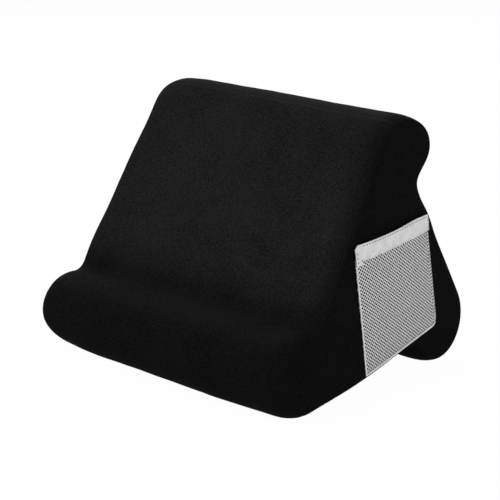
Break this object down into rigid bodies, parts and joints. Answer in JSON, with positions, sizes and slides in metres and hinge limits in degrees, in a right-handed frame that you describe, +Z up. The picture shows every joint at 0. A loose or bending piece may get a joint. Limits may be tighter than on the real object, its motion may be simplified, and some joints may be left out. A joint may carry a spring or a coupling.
{
  "type": "tablet cushion stand",
  "caption": "Soft foam wedge that holds a tablet on rounded ledges at several angles, with a sewn fabric cover and an open mesh pocket on one end.",
  "frame": {"origin": "on the floor, in the middle of the stand's footprint", "axes": "+Z up; the tablet's face looks towards -Y; +X towards the end with the pocket"},
  "size_m": [0.2803, 0.2488, 0.2231],
  "materials": {
    "velvet": "short dense black pile, soft sheen",
    "foam": "open-cell cushion foam, matte",
    "mesh": "light grey knitted mesh, open between its threads",
    "tape": "pale grey woven binding, matte, stitched along its edges"
  },
  "bodies": {
    "root": {"foam_core": "foam", "front_panel": "velvet", "rear_panel": "velvet", "base_panel": "velvet", "left_end_panel": "velvet", "right_end_panel": "velvet", "pocket_mesh": "mesh", "pocket_top_band": "tape", "pocket_front_selvedge": "tape", "pocket_rear_selvedge": "tape", "pocket_bottom_selvedge": "tape"}
  },
  "joints": []
}
